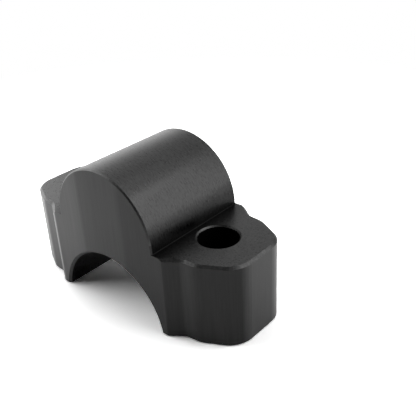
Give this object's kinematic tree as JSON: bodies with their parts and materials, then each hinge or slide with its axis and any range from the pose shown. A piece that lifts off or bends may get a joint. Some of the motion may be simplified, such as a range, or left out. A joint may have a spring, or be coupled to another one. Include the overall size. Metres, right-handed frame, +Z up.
{
  "type": "motorcycle bar riser",
  "caption": "Milled aluminium block that lifts a motorcycle handlebar, with a bar saddle beneath, a half-round boss on top and a bolt hole through the ear on each side.",
  "frame": {"origin": "on the ground under the middle of the block, which stands on its two feet", "axes": "+X across the two bolts, +Y along the handlebar, +Z up from the feet to the half-round boss"},
  "size_m": [0.0592, 0.0254, 0.0317],
  "materials": {
    "black_anodised_aluminium": "black anodised, satin, with fine milling marks"
  },
  "bodies": {
    "root": {"riser_block": "black_anodised_aluminium"}
  },
  "joints": []
}
